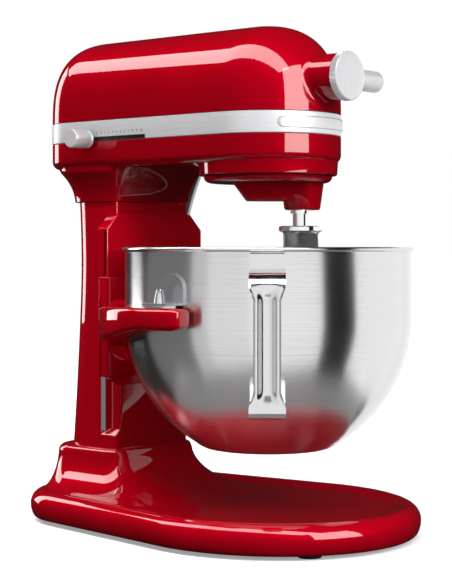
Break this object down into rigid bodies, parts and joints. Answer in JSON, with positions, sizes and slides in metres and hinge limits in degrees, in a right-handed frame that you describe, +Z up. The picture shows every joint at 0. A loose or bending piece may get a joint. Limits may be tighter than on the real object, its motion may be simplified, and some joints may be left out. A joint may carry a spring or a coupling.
{
  "type": "stand mixer",
  "caption": "Bowl-lift stand mixer with a planetary whisk, a steel bowl on a lifting yoke, a speed lever, a lift lever and a front power hub.",
  "frame": {"origin": "on the table, straight under the axis that the bowl, the front drum and the planetary share", "axes": "+X to the mixer's front, where the power hub is; +Y to the mixer's own left; +Z up"},
  "size_m": [0.3488, 0.2816, 0.417],
  "materials": {
    "red_enamel": "high gloss enamel over a casting",
    "bowl_steel": "horizontally brushed, polished rim",
    "polished_steel": "polished",
    "trim_aluminium": "finely brushed",
    "machine_steel": "machined",
    "bronze": "sintered bronze",
    "copper": "turned copper",
    "laminated_iron": "laminated",
    "black_plastic": "moulded",
    "carbon": "pressed carbon in brass holders",
    "green_board": "circuit board with dark parts",
    "black_rubber": "matt"
  },
  "bodies": {
    "stand": {"base_casting": "red_enamel", "base_cover": "black_plastic", "rubber_feet": "black_rubber", "column": "red_enamel", "column_bolts": "machine_steel", "guide_slab": "red_enamel", "guide_rails": "polished_steel", "slab_screws": "machine_steel", "shaft_bushes": "bronze", "height_screw": "machine_steel", "cord_grommet": "black_rubber", "lower_housing": "red_enamel", "upper_housing": "red_enamel", "trim_band": "trim_aluminium", "band_badge": "trim_aluminium", "housing_screws": "machine_steel", "motor_stator": "laminated_iron", "motor_brackets": "machine_steel", "motor_brushes": "carbon", "speed_board": "green_board", "gearbox_plate": "machine_steel", "ring_gear": "machine_steel", "shaft_bearings": "machine_steel", "hub_bush": "bronze"},
    "bowl_support": {"carriage": "red_enamel", "arm_plates": "polished_steel", "locating_pins": "polished_steel", "latch_spring": "polished_steel", "lift_link": "machine_steel"},
    "bowl": {"bowl_shell": "bowl_steel", "bowl_handle": "polished_steel", "bowl_brackets": "polished_steel", "bowl_stud": "polished_steel"},
    "lift_lever": {"lift_lever": "polished_steel", "lift_shaft": "polished_steel", "crank_arm": "machine_steel", "crank_roller": "bronze"},
    "speed_lever": {"speed_knob": "polished_steel", "speed_slider": "black_plastic"},
    "planetary": {"planetary_carrier": "red_enamel", "planetary_pin": "polished_steel", "centre_shaft": "machine_steel", "centre_gear": "machine_steel", "centre_bevel": "machine_steel"},
    "beater_shaft": {"beater_shaft": "polished_steel", "planet_pinion": "machine_steel", "shaft_washer": "polished_steel"},
    "whisk": {"whisk_hub": "trim_aluminium", "whisk_wires": "polished_steel"},
    "intermediate_gear": {"worm_wheel": "bronze", "wheel_shaft": "machine_steel"},
    "armature": {"armature_core": "laminated_iron", "armature_shaft": "machine_steel", "commutator": "copper", "cooling_fan": "black_plastic"},
    "hub_drive": {"hub_bevel": "machine_steel", "hub_shaft": "machine_steel"},
    "hub_cap": {"hub_cap": "trim_aluminium"},
    "attachment_knob": {"attachment_knob": "polished_steel"}
  },
  "joints": [
    {"name": "bowl_lift", "type": "slide", "parent": "stand", "child": "bowl_support", "axis": [0, 0, 1], "range_m": [-0.036, 0]},
    {"name": "bowl_off", "type": "slide", "parent": "bowl_support", "child": "bowl", "axis": [0, 0, 1], "range_m": [0, 0.014]},
    {"name": "lift_lever_turn", "type": "hinge", "parent": "stand", "child": "lift_lever", "pos_m": [-0.158, 0, 0.235], "axis": [0, -1, 0], "range_deg": [0, 97.19]},
    {"name": "speed_slide", "type": "slide", "parent": "stand", "child": "speed_lever", "axis": [1, 0, 0], "range_m": [0, 0.052]},
    {"name": "planetary_turn", "type": "hinge", "parent": "stand", "child": "planetary", "pos_m": [0, 0, 0], "axis": [0, 0, 1], "continuous": true},
    {"name": "beater_spin", "type": "hinge", "parent": "planetary", "child": "beater_shaft", "pos_m": [0.02047, 0.01761, 0], "axis": [0, 0, 1], "continuous": true},
    {"name": "whisk_twist", "type": "hinge", "parent": "beater_shaft", "child": "whisk", "pos_m": [0.02047, 0.01761, 0], "axis": [0, 0, 1], "range_deg": [0, 35]},
    {"name": "intermediate_spin", "type": "hinge", "parent": "stand", "child": "intermediate_gear", "pos_m": [-0.03807, 0.024, 0], "axis": [0, 0, 1], "continuous": true},
    {"name": "armature_spin", "type": "hinge", "parent": "stand", "child": "armature", "pos_m": [0, 0, 0.352], "axis": [1, 0, 0], "continuous": true},
    {"name": "hub_spin", "type": "hinge", "parent": "stand", "child": "hub_drive", "pos_m": [0, 0, 0.37], "axis": [1, 0, 0], "continuous": true},
    {"name": "hub_cap_pull", "type": "slide", "parent": "stand", "child": "hub_cap", "axis": [1, 0, 0], "range_m": [0, 0.03]},
    {"name": "thumb_screw_turn", "type": "hinge", "parent": "stand", "child": "attachment_knob", "pos_m": [0.07, 0, 0.37], "axis": [0, 1, 0], "range_deg": [0, 720]}
  ],
  "couplings": [
    {"joint": "lift_lever_turn", "follows": "bowl_lift", "rad_per_m": -47.115},
    {"joint": "beater_spin", "follows": "planetary_turn", "ratio": -4},
    {"joint": "intermediate_spin", "follows": "planetary_turn", "ratio": -2.3333},
    {"joint": "armature_spin", "follows": "planetary_turn", "ratio": 46.667},
    {"joint": "hub_spin", "follows": "planetary_turn", "ratio": 1}
  ]
}
